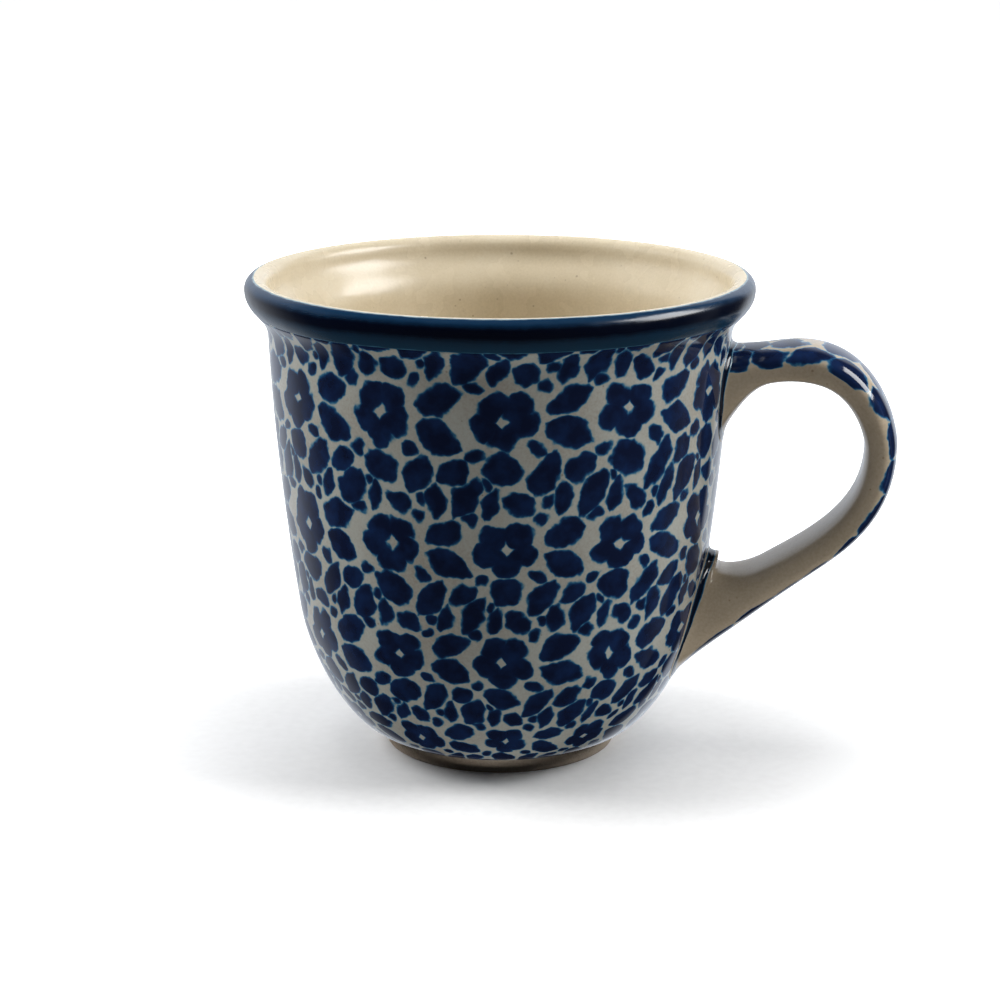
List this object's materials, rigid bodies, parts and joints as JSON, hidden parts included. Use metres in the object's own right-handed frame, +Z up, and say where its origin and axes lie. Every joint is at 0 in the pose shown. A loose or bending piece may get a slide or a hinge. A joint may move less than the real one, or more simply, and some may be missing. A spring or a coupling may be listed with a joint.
{
  "type": "stoneware mug",
  "caption": "Glazed stoneware mug with a flared cobalt lip, a low bare foot ring and a wide strap handle luted to the wall, stamped all over with blue flowers and leaves",
  "frame": {"origin": "centre of the foot ring, on the plane that the mug stands on", "axes": "+Z up along the axis of the cup, +X towards the handle, whose middle plane is y = 0, +Y to the side, right handed"},
  "size_m": [0.1155, 0.09, 0.086],
  "materials": {
    "bare_clay": "fired unglazed stoneware, fine grained",
    "stamped_glaze": "clear gloss glaze over a cobalt sponge stamp pattern on a grey cream ground",
    "handle_glaze": "gloss grey cream glaze, stamped cobalt on its outer face",
    "cream_glaze": "gloss cream glaze with fine brown specks",
    "cobalt_glaze": "gloss deep cobalt glaze"
  },
  "bodies": {
    "root": {"cup_body": "bare_clay", "handle": "bare_clay", "upper_slip_joint": "bare_clay", "lower_slip_joint": "bare_clay", "outer_glaze": "stamped_glaze", "inner_glaze": "cream_glaze", "base_glaze": "cream_glaze", "handle_glaze": "handle_glaze", "rim_band": "cobalt_glaze", "upper_root_line": "cobalt_glaze", "lower_root_line": "cobalt_glaze"}
  },
  "joints": []
}
